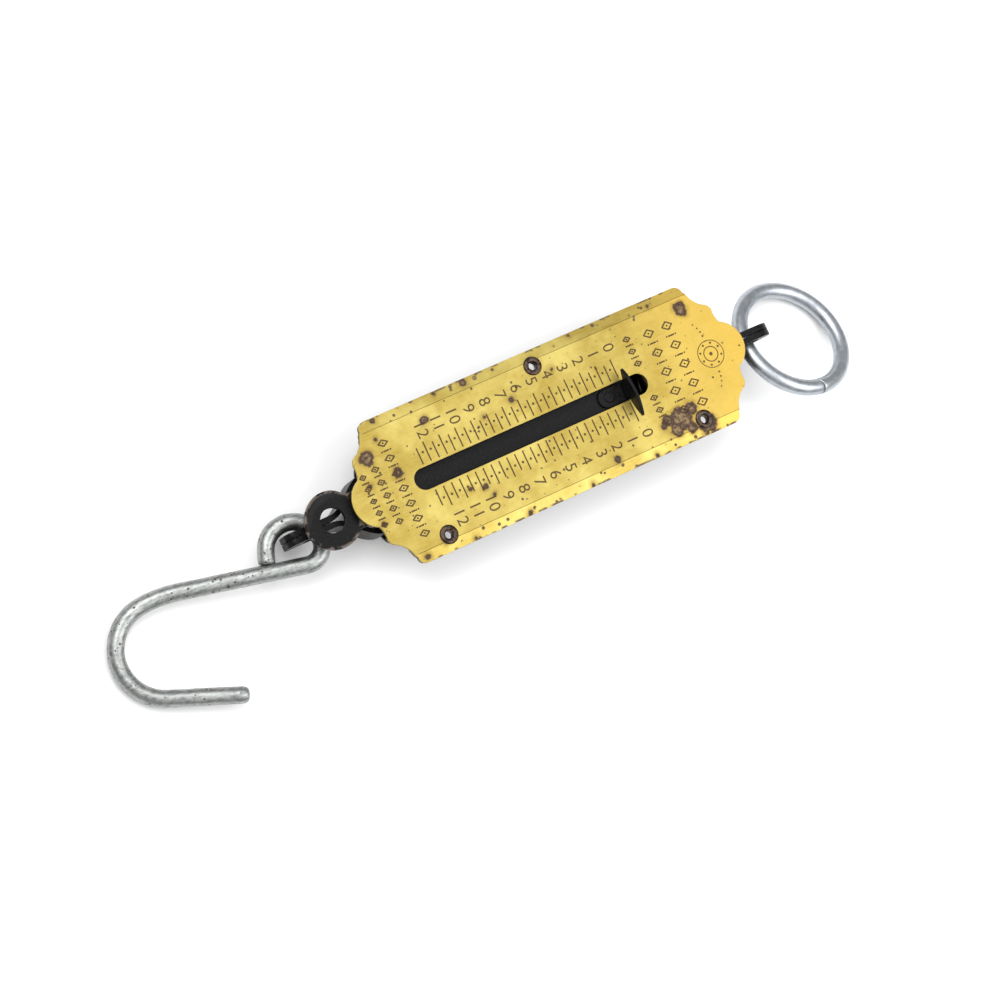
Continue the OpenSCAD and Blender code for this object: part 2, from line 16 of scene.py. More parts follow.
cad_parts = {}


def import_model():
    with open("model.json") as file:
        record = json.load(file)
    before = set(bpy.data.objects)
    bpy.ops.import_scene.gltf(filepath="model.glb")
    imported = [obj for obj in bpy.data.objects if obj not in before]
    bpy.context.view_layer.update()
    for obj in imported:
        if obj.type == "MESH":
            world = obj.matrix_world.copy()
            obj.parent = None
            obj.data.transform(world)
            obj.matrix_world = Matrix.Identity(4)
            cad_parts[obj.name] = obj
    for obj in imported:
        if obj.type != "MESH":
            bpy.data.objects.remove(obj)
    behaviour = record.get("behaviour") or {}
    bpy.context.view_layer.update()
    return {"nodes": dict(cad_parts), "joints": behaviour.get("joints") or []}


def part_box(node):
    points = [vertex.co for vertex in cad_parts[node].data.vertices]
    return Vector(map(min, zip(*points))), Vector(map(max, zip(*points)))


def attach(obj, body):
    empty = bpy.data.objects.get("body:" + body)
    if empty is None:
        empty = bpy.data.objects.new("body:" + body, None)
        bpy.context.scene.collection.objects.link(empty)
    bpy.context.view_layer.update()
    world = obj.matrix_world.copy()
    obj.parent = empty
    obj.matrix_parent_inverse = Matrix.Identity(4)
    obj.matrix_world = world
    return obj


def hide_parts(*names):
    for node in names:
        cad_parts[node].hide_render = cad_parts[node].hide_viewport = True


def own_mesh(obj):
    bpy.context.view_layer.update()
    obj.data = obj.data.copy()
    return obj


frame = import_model()
MM = 0.001

# %% [markdown]
# Places come from the engineering model. A node's box says where its faces are, and a joint says
# where a hole's middle is, so most of the sizes below are read and not typed.

# %% Places read from the frame
joints = {j["name"]: j for j in frame["joints"]}
dial_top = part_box("dial_plate")[1].z
ring_pivot = Vector(joints["ring_swing"]["pos_m"])
hook_pivot = Vector(joints["hook_swing"]["pos_m"])
print("dial top at", round(dial_top / MM, 2), "mm; ring hole at", round(ring_pivot.x / MM, 1),
      "mm; hook hole at", round(hook_pivot.x / MM, 1), "mm")

# %% [markdown]
# ## Camera and light
# The balance lies on its back on a pale floor. The camera stands over the hook's side and looks
# down at the dial through a long lens, which keeps the dial's edges nearly parallel. It is placed
# from a few plain values: the point it looks at, its distance, two tilts and a roll.

# %% Camera
def place_camera(aim, distance, tilt, side_tilt, roll, lens):
    """A camera that looks at aim, tilted from straight above towards the hook and to one side."""
    back = Vector((-math.sin(tilt), -math.sin(side_tilt) * math.cos(tilt),
                   math.cos(tilt) * math.cos(side_tilt))).normalized()
    right = (Vector((1, 0, 0)) - back * back.x).normalized()
    up = back.cross(right)
    turned_right = right * math.cos(roll) - up * math.sin(roll)
    turned_up = back.cross(turned_right)
    bpy.ops.object.camera_add()
    cam = bpy.context.object
    cam.name = "camera"
    axes = Matrix((turned_right, turned_up, back)).transposed().to_4x4()
    cam.matrix_world = Matrix.Translation(aim + back * distance) @ axes
    cam.data.lens = lens
    cam.data.sensor_width = 36
    cam.data.clip_start, cam.data.clip_end = 0.01, 10
    bpy.context.scene.camera = cam
    return cam


aim_point = Vector((-20.07 * MM, -11.34 * MM, dial_top))
camera = place_camera(aim_point, 715.8 * MM, math.radians(20.84), math.radians(2.65),
                      math.radians(24.28), 113.5)
print("camera at", [round(c, 3) for c in camera.matrix_world.translation])

# %% [markdown]
# The floor is one large pale sheet, and a few broad area lamps light it softly. Polished metal
# shows what is around it, so the sky is bright overhead and darker near the horizon: that gives
# round wire its dark edges and flat brass its even glow.

# %% Floor and lamps
def deselect():
    if bpy.context.object and bpy.context.object.mode != "OBJECT":
        bpy.ops.object.mode_set(mode="OBJECT")
    bpy.ops.object.select_all(action="DESELECT")


def area_lamp(name, place, size, watts):
    """A square lamp that shines at the middle of the balance."""
    bpy.ops.object.light_add(type="AREA", location=place)
    lamp = bpy.context.object
    lamp.name = name
    lamp.data.size = size
    lamp.data.energy = watts
    lamp.rotation_euler = (-Vector(place)).to_track_quat("-Z", "Y").to_euler()
    return lamp


deselect()
bpy.ops.mesh.primitive_plane_add(size=6, location=(0, 0, -0.0001))
floor = bpy.context.object
floor.name = "floor"
area_lamp("key_lamp", (-0.2, 0.42, 0.85), 0.7, 7)
area_lamp("fill_lamp", (0.4, -0.4, 0.75), 0.8, 6)
bpy.context.scene.view_settings.view_transform = "Standard"

# %% [markdown]
# The sky is a plain grey that grows brighter overhead.

# %% Sky
def make_sky(horizon, overhead, strength):
    """A plain grey sky that goes from the horizon's brightness to the overhead one."""
    sky = bpy.data.worlds.new("studio")
    bpy.context.scene.world = sky
    sky.use_nodes = True
    tree = sky.node_tree
    where = tree.nodes.new("ShaderNodeTexCoord")
    split = tree.nodes.new("ShaderNodeSeparateXYZ")
    ramp = tree.nodes.new("ShaderNodeValToRGB")
    ramp.color_ramp.elements[0].position = 0.1
    ramp.color_ramp.elements[0].color = (horizon, horizon, horizon, 1)
    ramp.color_ramp.elements[1].position = 0.85
    ramp.color_ramp.elements[1].color = (overhead, overhead, overhead, 1)
    tree.links.new(where.outputs["Generated"], split.inputs[0])
    tree.links.new(split.outputs["Z"], ramp.inputs[0])
    background = tree.nodes["Background"]
    tree.links.new(ramp.outputs[0], background.inputs["Color"])
    background.inputs["Strength"].default_value = strength


make_sky(0.3, 1.0, 0.85)


# %% [markdown]
# ## A small language for finishes
# A finish is a tree of nodes. Writing it as sums and products is easier to read than placing nodes
# one by one, so a small class wraps a socket: adding or multiplying two of them adds a Math node.
# Positions are in millimetres in the frame, and a pattern's size is too.

# %% Shader values as arithmetic
class Shade:
    """One output socket in a finish, which can be added, multiplied and compared."""

    def __init__(self, tree, socket):
        self.tree, self.socket = tree, socket

    def node(self, kind, settings=None, out=0, **values):
        """Any other node: its type, its settings, then its input values or links."""
        made = self.tree.nodes.new(kind)
        for key, value in (settings or {}).items():
            setattr(made, key, value)
        for key, value in values.items():
            slot = made.inputs[int(key[1:])] if key[1:].isdigit() else made.inputs[key.replace("_", " ")]
            if isinstance(value, Shade):
                self.tree.links.new(value.socket, slot)
            else:
                slot.default_value = value
        return Shade(self.tree, made.outputs[out])

    def maths(self, operation, first, second=0.0):
        return self.node("ShaderNodeMath", {"operation": operation}, i0=first, i1=second)

    def __add__(self, other):
        return self.maths("ADD", self, other)

    def __sub__(self, other):
        return self.maths("SUBTRACT", self, other)

    def __mul__(self, other):
        return self.maths("MULTIPLY", self, other)

    def __truediv__(self, other):
        return self.maths("DIVIDE", self, other)

    def __rsub__(self, other):
        return self.maths("SUBTRACT", other, self)

    __radd__ = __add__
    __rmul__ = __mul__

    def most(self, other):
        return self.maths("MAXIMUM", self, other)

    def size(self):
        return self.maths("ABSOLUTE", self)

    def ramp(self, low, high):
        """0 below low, 1 above high, and a smooth step between them."""
        smooth_step = {"interpolation_type": "SMOOTHSTEP"}
        return self.node("ShaderNodeMapRange", smooth_step, i0=self, i1=low, i2=high)

    def mix(self, dark, light):
        """Goes from one colour to another as this value goes from 0 to 1."""
        return self.node("ShaderNodeMix", {"data_type": "RGBA"}, 2, i0=self, i6=dark, i7=light)

    def noise(self, scale, detail=3.0, rough=0.5):
        """Cloudy pattern on these positions, with scale lumps to the millimetre."""
        return self.node("ShaderNodeTexNoise", None, 0, Vector=self, Scale=scale, Detail=detail,
                         Roughness=rough)

    def cells(self, scale):
        """Distance to the nearest of many scattered points, for pits and specks."""
        return self.node("ShaderNodeTexVoronoi", None, 0, Vector=self, Scale=scale)

    def stretch(self, x, y, z):
        """These positions, stretched along each axis, for streaks."""
        return self.node("ShaderNodeVectorMath", {"operation": "MULTIPLY"}, 0, i0=self, i1=(x, y, z))

    def away_from(self, x, y, z=0.0):
        """Distance of these positions from a point."""
        return self.node("ShaderNodeVectorMath", {"operation": "DISTANCE"}, 1, i0=self, i1=(x, y, z))

    def part(self, axis):
        return self.node("ShaderNodeSeparateXYZ", None, axis, i0=self)


def start_finish(name):
    """A new material, and the positions in it in millimetres."""
    made = bpy.data.materials.new(name)
    made.use_nodes = True
    tree = made.node_tree
    where = Shade(tree, tree.nodes.new("ShaderNodeTexCoord").outputs["Object"])
    return made, where.node("ShaderNodeVectorMath", {"operation": "SCALE"}, 0, i0=where, Scale=1000.0)


def end_finish(made, color, rough, metal, height=None, lift=0.05, **constants):
    """Links the colour, roughness, metalness and a small height pattern to the surface."""
    surface = made.node_tree.nodes["Principled BSDF"]
    for slot, value in (("Base Color", color), ("Roughness", rough), ("Metallic", metal)):
        if isinstance(value, Shade):
            made.node_tree.links.new(value.socket, surface.inputs[slot])
        else:
            surface.inputs[slot].default_value = value
    for key, value in constants.items():
        surface.inputs[key.replace("_", " ")].default_value = value
    if height is not None:
        bump = height.node("ShaderNodeBump", None, 0, Strength=1.0, Distance=lift * MM, Height=height)
        made.node_tree.links.new(bump.socket, surface.inputs["Normal"])
    return made


print("shader helpers ready")

# %% [markdown]
# The floor gets a finish of its own too: plain pale paint with a trace of unevenness.

# %% Floor finish
def floor_finish():
    made, at = start_finish("floor_paint")
    cloud = at.noise(0.004, 2.0)
    return end_finish(made, cloud.mix((0.9, 0.9, 0.9, 1), (0.94, 0.94, 0.94, 1)), 0.9, 0.0)


floor.data.materials.append(floor_finish())

# %% [markdown]
# ## Brass
# Brass that has been handled for years is never one colour: it is paler where it is rubbed and
# more orange towards the ring. Dark stains sit where moisture lay, and the stamped marks are
# filled with dirt. The dirt needs no drawing: everything that lies a little under the dial's face
# is inside a stamped mark, so the height of a point decides it.

# %% Brass finish
STAINS = [  # place along and across the dial, size, all in mm
    (29.6, -11.4, 2.9), (26.0, -10.6, 1.4), (32.6, -10.2, 1.7), (31.0, -14.2, 1.4), (27.4, -13.2, 1.8),
    (24.6, -11.6, 0.9), (41.1, 12.1, 1.8), (35.0, -14.9, 2.3), (10.4, -14.0, 0.9), (-16.1, 16.7, 1.0),
    (-23.6, 16.9, 0.6), (-39.8, 16.8, 0.7), (-44.8, 9.4, 1.8), (-39.4, 3.6, 1.3), (-28.5, 12.3, 1.1),
    (-7.3, 8.6, 0.9), (5.1, 11.3, 0.6), (-14.9, 7.3, 0.45), (-41.4, -16.4, 0.7), (-29.0, -17.0, 0.5),
    (-14.6, -16.9, 0.7), (2.4, -17.0, 0.5), (20.1, -16.9, 0.6), (34.2, -17.0, 0.7), (-47.6, -5.6, 0.6),
    (-35.9, -14.6, 0.9), (-21.8, -7.2, 0.8), (-20.6, -9.6, 0.6), (-25.4, -6.4, 0.5),
    (-41.0, 12.6, 0.5), (33.9, 15.8, 0.6), (12.6, 16.8, 0.5), (-46.9, 3.4, 0.6),
]


def brass_finish():
    made, at = start_finish("worn_brass")
    flat = at.stretch(1, 1, 0)
    x, y, z = at.part("X"), at.part("Y"), at.part("Z")
    wander = at.noise(0.55, 5.0, 0.6)
    stain = wander * 0.0
    core = wander * 0.0
    halo = wander * 0.0
    for place_x, place_y, size in STAINS:
        edge = (wander - 0.5) * (size * 0.8 + 1.1) + size - flat.away_from(place_x, place_y)
        stain = stain.most(edge.ramp(-0.15, 0.35))
        core = core.most(edge.ramp(0.2, 1.4))
        halo = halo.most(edge.ramp(-1.3, 0.4))
    near_edge = y.size().ramp(13.0, 17.4)
    speck_size = 0.12 + 0.16 * near_edge + 0.12 * at.noise(0.12, 2.0).ramp(0.45, 0.7)
    speck = (speck_size - at.cells(0.55)).ramp(0.0, 0.06) * at.noise(0.3, 1.0).ramp(0.42, 0.55)
    depth = dial_top / MM - z
    dirt = depth.ramp(0.05, 0.09) * (1.0 - depth.ramp(0.2, 0.3)) * (1.0 - y.size().ramp(15.2, 15.3))
    cloud = at.noise(0.09, 4.0, 0.6)
    grain = at.stretch(0.25, 6.0, 1).noise(1.0, 3.0)
    pale = cloud.ramp(0.28, 0.72).mix((0.31, 0.222, 0.042, 1), (0.50, 0.405, 0.118, 1))
    warm = ((x - 18.0) * 0.02 + cloud * 0.6 - 0.2).ramp(0.0, 0.9)
    metal_color = warm.mix(pale, (0.53, 0.35, 0.062, 1))
    metal_color = (grain.ramp(0.35, 0.75) * 0.25).mix(metal_color, (0.56, 0.46, 0.17, 1))
    dull = (halo * 0.45 + at.noise(0.35, 6.0, 0.7).ramp(0.58, 0.8) * 0.25)
    metal_color = dull.mix(metal_color, (0.20, 0.12, 0.03, 1))
    patchy = at.noise(1.0, 4.0, 0.6).ramp(0.36, 0.62) * core
    stain_color = patchy.mix((0.05, 0.026, 0.018, 1), (0.24, 0.16, 0.075, 1))
    rim = y.size().ramp(16.9, 17.3) * at.noise(0.4, 4.0).ramp(0.5, 0.62)
    dark = stain.most(speck * 0.85).most(rim * 0.8)
    color = dark.mix(metal_color, stain_color)
    color = (dirt * 0.9).mix(color, (0.06, 0.028, 0.012, 1))
    cover = dark.most(dirt * 0.8)
    rough = 0.36 + cloud * 0.1 + grain * 0.06 + halo * 0.12 + cover * 0.3
    height = grain * 0.2 + at.noise(0.5, 2.0) * 0.8 + at.noise(6.0, 3.0) * 0.12 + dark * 0.6
    return end_finish(made, color, rough, 1.0 - cover * 0.85, height, 0.02)


# %% [markdown]
# ## Black lacquer, steel and zinc
# The lacquer on the sheet steel is thin and has chipped to brown rust in spots. The same small
# noise patterns, at other sizes and with other colours, make the bare steel, the bright ring and
# the dull zinc of the hook, which is pitted and streaked along its drawn length.

# %% Lacquer finish
def lacquer_finish(name, base, sheen, rust, rim=None):
    """Black lacquer: base and sheen are its two greys, rust is how much has chipped, and rim is the middle,
    along the balance, and the radius of a round edge that is painted a lighter brown: partly worn metal and
    partly a painted highlight of its bent facets."""
    made, at = start_finish(name)
    wear = at.noise(0.8, 6.0, 0.65)
    chip = wear.ramp(0.70 - rust, 0.74 - rust) * at.noise(0.16, 2.0).ramp(0.45, 0.6)
    dust = at.noise(2.5, 3.0).ramp(0.45, 0.75)
    black = dust.mix((base, base, base * 1.06, 1), (sheen, sheen, sheen * 1.04, 1))
    rust_color = at.noise(3.0, 3.0).mix((0.05, 0.022, 0.014, 1), (0.20, 0.085, 0.04, 1))
    color = chip.mix(black, rust_color)
    # Painted highlight: the eye's round edge is painted a lighter brown, which stands partly for worn metal
    # and partly for the glint on its bent facets.
    if rim:
        worn_rim_and_highlight = at.stretch(1, 1, 0).away_from(rim[0], 0).ramp(rim[1] - 0.9, rim[1] - 0.2)
        beside = (rim[0] + rim[1] + 1.0 - at.part("X")).ramp(0.0, 1.0)
        worn_rim_and_highlight = worn_rim_and_highlight * at.noise(0.45, 3.0).ramp(0.46, 0.56) * beside
        color = (worn_rim_and_highlight * 0.8).mix(color, (0.16, 0.13, 0.11, 1))
    rough = 0.3 + dust * 0.16 + chip * 0.35
    height = at.noise(1.3, 4.0) * 0.6 - chip
    return end_finish(made, color, rough, 0.0, height, 0.04, Specular_IOR_Level=0.1)


# %% [markdown]
# Bare metal has clouds, scratches and rust spots. The hook's dull zinc adds streaks and pits.

# %% Steel and zinc finishes
def steel_finish(name, dark, light, rough_low, rust, lift=0.02):
    """Bare metal with soft clouds, fine scratches and some rust."""
    made, at = start_finish(name)
    cloud = at.noise(0.7, 5.0, 0.6)
    scratch = at.stretch(0.4, 5.0, 5.0).noise(1.5, 2.0).ramp(0.55, 0.75)
    spot = at.noise(1.4, 5.0, 0.7).ramp(0.68 - rust, 0.76 - rust)
    color = cloud.ramp(0.3, 0.7).mix(dark, light)
    color = spot.mix(color, (0.16, 0.07, 0.03, 1))
    rough = rough_low + cloud * 0.2 + spot * 0.4
    return end_finish(made, color, rough, 1.0 - spot * 0.8, cloud * 0.5 + scratch * 0.2, lift)


def galvanised_finish():
    """Dull zinc on the hook: mottled grey, streaks, small dark pits and a trace of rust."""
    made, at = start_finish("dull_zinc")
    mottle = at.noise(0.9, 6.0, 0.65)
    streak = at.stretch(0.35, 2.2, 2.2).noise(1.0, 4.0).ramp(0.35, 0.7)
    pit_size = 0.10 + 0.16 * at.noise(0.2, 2.0).ramp(0.4, 0.65)
    pit = (pit_size - at.cells(0.75)).ramp(0.0, 0.05)
    rust = at.noise(0.5, 5.0, 0.7).ramp(0.60, 0.70) * 0.55
    color = mottle.ramp(0.3, 0.7).mix((0.16, 0.168, 0.165, 1), (0.33, 0.345, 0.335, 1))
    color = (streak * 0.5).mix(color, (0.46, 0.47, 0.455, 1))
    color = rust.mix(color, (0.25, 0.19, 0.13, 1))
    color = (pit * 0.9).mix(color, (0.06, 0.04, 0.03, 1))
    rough = 0.3 + mottle * 0.2 + pit * 0.3
    height = mottle * 0.35 + streak * 0.3 - pit * 1.5
    return end_finish(made, color, rough, 0.95 - pit * 0.6 - rust * 0.3, height, 0.06)


FINISHES = {
    "brass": brass_finish(),
    "black_lacquer": lacquer_finish("black_lacquer", 0.005, 0.014, 0.03),
    # The eye's round edge in this lacquer carries a painted highlight.
    "dull_lacquer_painted_rim": lacquer_finish("dull_lacquer_painted_rim", 0.006, 0.012, 0.0, (-57.5, 6.75)),
    "dark_steel": steel_finish("dark_steel", (0.022, 0.015, 0.012, 1), (0.09, 0.068, 0.055, 1), 0.3, 0.12),
    "plain_steel": steel_finish("plain_steel", (0.30, 0.29, 0.28, 1), (0.48, 0.47, 0.45, 1), 0.3, 0.03),
    "spring_steel": steel_finish("spring_steel", (0.09, 0.075, 0.065, 1), (0.22, 0.19, 0.165, 1),
                                 0.3, 0.08),
    "bright_zinc": steel_finish("bright_zinc", (0.36, 0.385, 0.415, 1), (0.46, 0.49, 0.52, 1),
                                0.27, -0.2, 0.004),
    "galvanised": galvanised_finish(),
}
print("finishes:", ", ".join(FINISHES))


# %% [markdown]
# ## Sheet parts
# Real sheet metal has small rounded edges, and they are what catches the light. Each sheet part
# starts as a copy of its engineering node: the triangles are merged and dissolved into clean
# faces, then a bevel rounds every sharp edge a little.


def clean_copy(name, node):
    """A new object with the node's shape, its doubles merged and its flat faces made whole."""
    deselect()
    copy = bpy.data.objects.new(name, frame["nodes"][node].data.copy())
    bpy.context.scene.collection.objects.link(copy)
    copy.data.materials.clear()
    copy.select_set(True)
    bpy.context.view_layer.objects.active = copy
    bpy.ops.object.mode_set(mode="EDIT")
    bpy.ops.mesh.select_all(action="SELECT")
    if copy.data.has_custom_normals:
        bpy.ops.mesh.customdata_custom_splitnormals_clear()
    bpy.ops.mesh.remove_doubles(threshold=0.002 * MM)
    bpy.ops.mesh.dissolve_limited(angle_limit=math.radians(0.5))
    bpy.ops.mesh.normals_make_consistent(inside=False)
    bpy.ops.object.mode_set(mode="OBJECT")
    return copy


def apply_modifier(piece, kind, **settings):
    """Adds one modifier to the piece and applies it at once."""
    deselect()
    piece.select_set(True)
    bpy.context.view_layer.objects.active = piece
    made = piece.modifiers.new(kind.lower(), kind)
    for key, value in settings.items():
        setattr(made, key, value)
    bpy.ops.object.modifier_apply(modifier=made.name)


def soften(piece, width, segments=2, angle=30):
    apply_modifier(piece, "BEVEL", width=width * MM, segments=segments, limit_method="ANGLE",
                   angle_limit=math.radians(angle), miter_outer="MITER_ARC")


def smooth(piece, angle=35, weighted=False):
    """Smooth shading up to an angle; weighted keeps large flat faces flat beside their bevels."""
    deselect()
    piece.select_set(True)
    bpy.context.view_layer.objects.active = piece
    bpy.ops.object.shade_smooth_by_angle(angle=math.radians(angle))
    if weighted:
        apply_modifier(piece, "WEIGHTED_NORMAL", keep_sharp=True, weight=90)


def finish_piece(piece, finish, body, slot, *nodes):
    """Gives the piece its material, hangs it under its body's empty and hides the nodes that it stands for;
    slot is not used.
    """
    piece.data.materials.clear()
    piece.data.materials.append(FINISHES[finish])
    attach(piece, body)
    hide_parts(*nodes)
    print(piece.name, len(piece.data.polygons), "faces")
    return piece


def sheet_part(node, finish, body, slot, width=0.12):
    piece = clean_copy("look_" + node, node)
    soften(piece, width)
    smooth(piece, weighted=True)
    return finish_piece(piece, finish, body, slot, node)


# %% [markdown]
# The case, the two end plates, the hanger and the draw frame are such sheet parts.

# %% Case, end plates, hanger and draw frame
sheet_part("case_shell", "black_lacquer", "case", "black_lacquer", 0.15)
sheet_part("hook_end_plate", "black_lacquer", "case", "black_lacquer")
sheet_part("ring_end_plate", "black_lacquer", "case", "black_lacquer")
sheet_part("hanger", "black_lacquer", "case", "black_lacquer", 0.3)
sheet_part("draw_frame", "black_lacquer", "draw", "black_lacquer", 0.3)
sheet_part("spring_cap", "plain_steel", "draw", "plain_steel")
sheet_part("seat_boss", "plain_steel", "case", "plain_steel", 0.3)
for rivet in ("hanger_rivet_upper", "hanger_rivet_lower"):
    sheet_part(rivet, "plain_steel", "case", "plain_steel", 0.1)
sheet_part("cap_rivet", "plain_steel", "draw", "plain_steel", 0.1)
sheet_part("pointer_rivet", "black_lacquer", "draw", "black_lacquer", 0.1)

# %% [markdown]
# ## Dial
# The dial copy is softened first and stamped afterwards, as the real one was. The stamp is one
# object: digits, dots, two long crease lines and plain ornament, all joined, then cut away from
# the dial with a Boolean. The digits read with the ring end up, so they are turned a quarter.

# %% Stamp tools
STAMP_DEPTH = 0.13 * MM
stamp_parts = []


def keep_stamp(part):
    stamp_parts.append(part)
    return part


def stamp_bar(x, y, length, width, turn=0.0):
    """A straight bar with square ends, length along X before it is turned."""
    deselect()
    bpy.ops.mesh.primitive_cube_add(size=1, location=(x * MM, y * MM, dial_top), rotation=(0, 0, turn))
    bar = bpy.context.object
    bar.scale = (length * MM, width * MM, 2 * STAMP_DEPTH)
    return keep_stamp(bar)


def stamp_dot(x, y, radius, sides=12):
    deselect()
    bpy.ops.mesh.primitive_cylinder_add(vertices=sides, radius=radius * MM, depth=2 * STAMP_DEPTH,
                                        location=(x * MM, y * MM, dial_top))
    return keep_stamp(bpy.context.object)


def stamp_ring(x, y, radius, width, sides=40):
    """A thin circle, made as a tube: a short cylinder without caps, thickened inwards."""
    deselect()
    bpy.ops.mesh.primitive_cylinder_add(vertices=sides, radius=radius * MM, depth=2 * STAMP_DEPTH,
                                        end_fill_type="NOTHING", location=(x * MM, y * MM, dial_top))
    ring = bpy.context.object
    apply_modifier(ring, "SOLIDIFY", thickness=width * MM, offset=-1)
    return keep_stamp(ring)


def stamp_digits(text, x, y, height):
    """A number whose foot points at the hook, centred on its place."""
    deselect()
    bpy.ops.object.text_add(location=(x * MM, y * MM, dial_top), rotation=(0, 0, -math.pi / 2))
    digits = bpy.context.object
    digits.data.body = text
    digits.data.size = height / 0.72 * MM
    digits.data.align_x, digits.data.align_y = "CENTER", "CENTER"
    digits.data.extrude = STAMP_DEPTH
    digits.data.resolution_u = 4
    digits.data.space_character = 1.05
    bpy.ops.object.convert(target="MESH")
    return keep_stamp(bpy.context.object)


# %% [markdown]
# The digits stand beside every second mark. A dot sits between each pair of marks. Where the dial
# once carried words, it now has rows of plain lozenges and bars of the same weight.

# %% Stamp the dial
ZERO_X = 19.4
STEP = 2.1


def stamp_scale():
    for kilo in range(13):
        x = ZERO_X - 2 * STEP * kilo
        stamp_digits(str(kilo), x + 0.8, 10.6, 2.9)
        stamp_digits(str(kilo), x + 0.6, -11.2, 2.9)
    for half in range(25):
        x = ZERO_X - STEP * (half + 0.5)
        stamp_dot(x, 5.7, 0.3)
        stamp_dot(x, -5.6, 0.3)


def stamp_lozenge(x, y, height, width, line=0.36):
    """Four bars round a diamond."""
    side = math.hypot(height, width) / 2 + line / 2
    lean = math.atan2(width, height)
    for turn_x, turn_y in ((1, 1), (1, -1), (-1, 1), (-1, -1)):
        stamp_bar(x + turn_x * height / 4, y + turn_y * width / 4, side, line, -turn_x * turn_y * lean)


def stamp_band(x, ys, height):
    """A row of letter-sized motifs across the dial: lozenges with a bar and dots between them."""
    pitch = abs(ys[1] - ys[0])
    for i, y in enumerate(ys):
        if i % 2 == 0:
            stamp_lozenge(x, y, height, min(height, pitch) * 0.8)
            stamp_dot(x, y, 0.24)
        else:
            stamp_bar(x, y, height * 0.6, 0.38)
            for end in (-1, 1):
                stamp_dot(x + end * height * 0.45, y, 0.22)


def stamp_rosette(x, y):
    stamp_ring(x, y, 1.9, 0.24)
    stamp_ring(x, y, 3.4, 0.2, 56)
    stamp_dot(x, y, 0.45)
    for i in range(8):
        a = math.radians(45 * i + 22.5)
        stamp_dot(x + 2.65 * math.cos(a), y + 2.65 * math.sin(a), 0.28)
    for side in (-1, 1):
        for i in range(4):
            stamp_dot(x - 0.12 * i * i, y + side * (4.6 + i * 1.1), 0.26 - 0.02 * i)


def spread(low, high, count):
    return [low + (high - low) * i / (count - 1) for i in range(count)]


stamp_scale()
stamp_band(25.4, spread(4.4, 10.6, 5), 1.9)
stamp_band(25.4, spread(-10.6, -4.4, 5), 1.9)
stamp_band(31.1, spread(-9.8, 9.8, 9), 2.7)
stamp_band(36.2, spread(-9.8, 9.8, 9), 2.7)
stamp_rosette(43.4, -0.4)
stamp_band(-39.8, spread(-11.2, 11.2, 13), 2.4)
stamp_band(-44.1, spread(-6.4, 6.4, 9), 1.8)
stamp_band(-47.6, spread(-5.8, 5.8, 9), 1.6)
for side in (-1, 1):
    stamp_bar(0.6, side * 14.93, 87.6, 0.1)
stamp_dot(51.0, -1.3, 0.25)
print(len(stamp_parts), "stamped motifs")

# %% [markdown]
# The stamp is cut from the dial in one go, and what it leaves below the face is filled with dirt.

# %% Cut the stamp into the dial
def cut_dial():
    deselect()
    for part in stamp_parts:
        part.select_set(True)
    bpy.context.view_layer.objects.active = stamp_parts[0]
    bpy.ops.object.join()
    stamp = bpy.context.object
    dial = clean_copy("look_dial_plate", "dial_plate")
    soften(dial, 0.05, 2, 40)
    apply_modifier(dial, "BOOLEAN", object=stamp, operation="DIFFERENCE", solver="EXACT", use_self=True)
    bpy.data.objects.remove(stamp)
    smooth(dial, 8)
    return finish_piece(dial, "brass", "case", "brass", "dial_plate")


dial = cut_dial()


# %% [markdown]
# ## Eyelets
# An eyelet is a short tube whose rims are rolled over both sheets. Half of its section is drawn as
# a line of points and spun once round the eyelet's own axis.

# %% Spin a section round an upright axis
def spun_piece(name, profile, centre, steps=40):
    """Spins a closed section, given as (radius, height) points, round the upright line at centre."""
    deselect()
    mesh = bpy.data.meshes.new(name)
    points = [(centre.x + r, centre.y, centre.z + h) for r, h in profile]
    count = len(points)
    mesh.from_pydata(points, [(i, (i + 1) % count) for i in range(count)], [])
    piece = bpy.data.objects.new(name, mesh)
    bpy.context.scene.collection.objects.link(piece)
    piece.select_set(True)
    bpy.context.view_layer.objects.active = piece
    bpy.ops.object.mode_set(mode="EDIT")
    bpy.ops.mesh.select_all(action="SELECT")
    bpy.ops.mesh.spin(steps=steps, angle=2 * math.pi, center=centre, axis=(0, 0, 1))
    bpy.ops.mesh.select_all(action="SELECT")
    bpy.ops.mesh.remove_doubles(threshold=0.005 * MM)
    bpy.ops.mesh.normals_make_consistent(inside=False)
    bpy.ops.object.mode_set(mode="OBJECT")
    return piece


def round_rim(middle_r, half_w, half_h, base, start, end, steps=6):
    """Points of a rolled rim: part of an ellipse above or below the height base."""
    return [((middle_r + half_w * math.cos(a)), base + half_h * math.sin(a))
            for a in (math.radians(start + (end - start) * i / steps) for i in range(steps + 1))]


def eyelet(node):
    lo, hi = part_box(node)
    middle = (lo + hi) / 2
    head_r = (hi.x - lo.x) / 2
    bore_r = 0.95 * MM
    barrel_r = 1.58 * MM
    top = hi.z - middle.z
    under = top - 0.4 * MM
    mid, half = (head_r + bore_r) / 2, (head_r - bore_r) / 2
    foot_mid, foot_half = (head_r - 0.2 * MM + bore_r) / 2, (head_r - 0.2 * MM - bore_r) / 2
    profile = round_rim(mid, half, 0.4 * MM, under, 180, 0) + [(barrel_r, under)]
    profile += [(barrel_r, -under)] + round_rim(foot_mid, foot_half, 0.4 * MM, -under, 0, -180)
    piece = spun_piece("look_" + node, profile, middle)
    smooth(piece, 50)
    return finish_piece(piece, "dark_steel", "case", "dark_steel", node)


for node in ("eyelet_top", "eyelet_low_hook", "eyelet_low_ring"):
    eyelet(node)

# %% [markdown]
# ## Pointer strip and pointer
# The round eye at the strip's end has been knocked: its outer edge is bent in two places. The
# sheet is first cut along straight creases, then everything beyond a crease is tipped up a little.

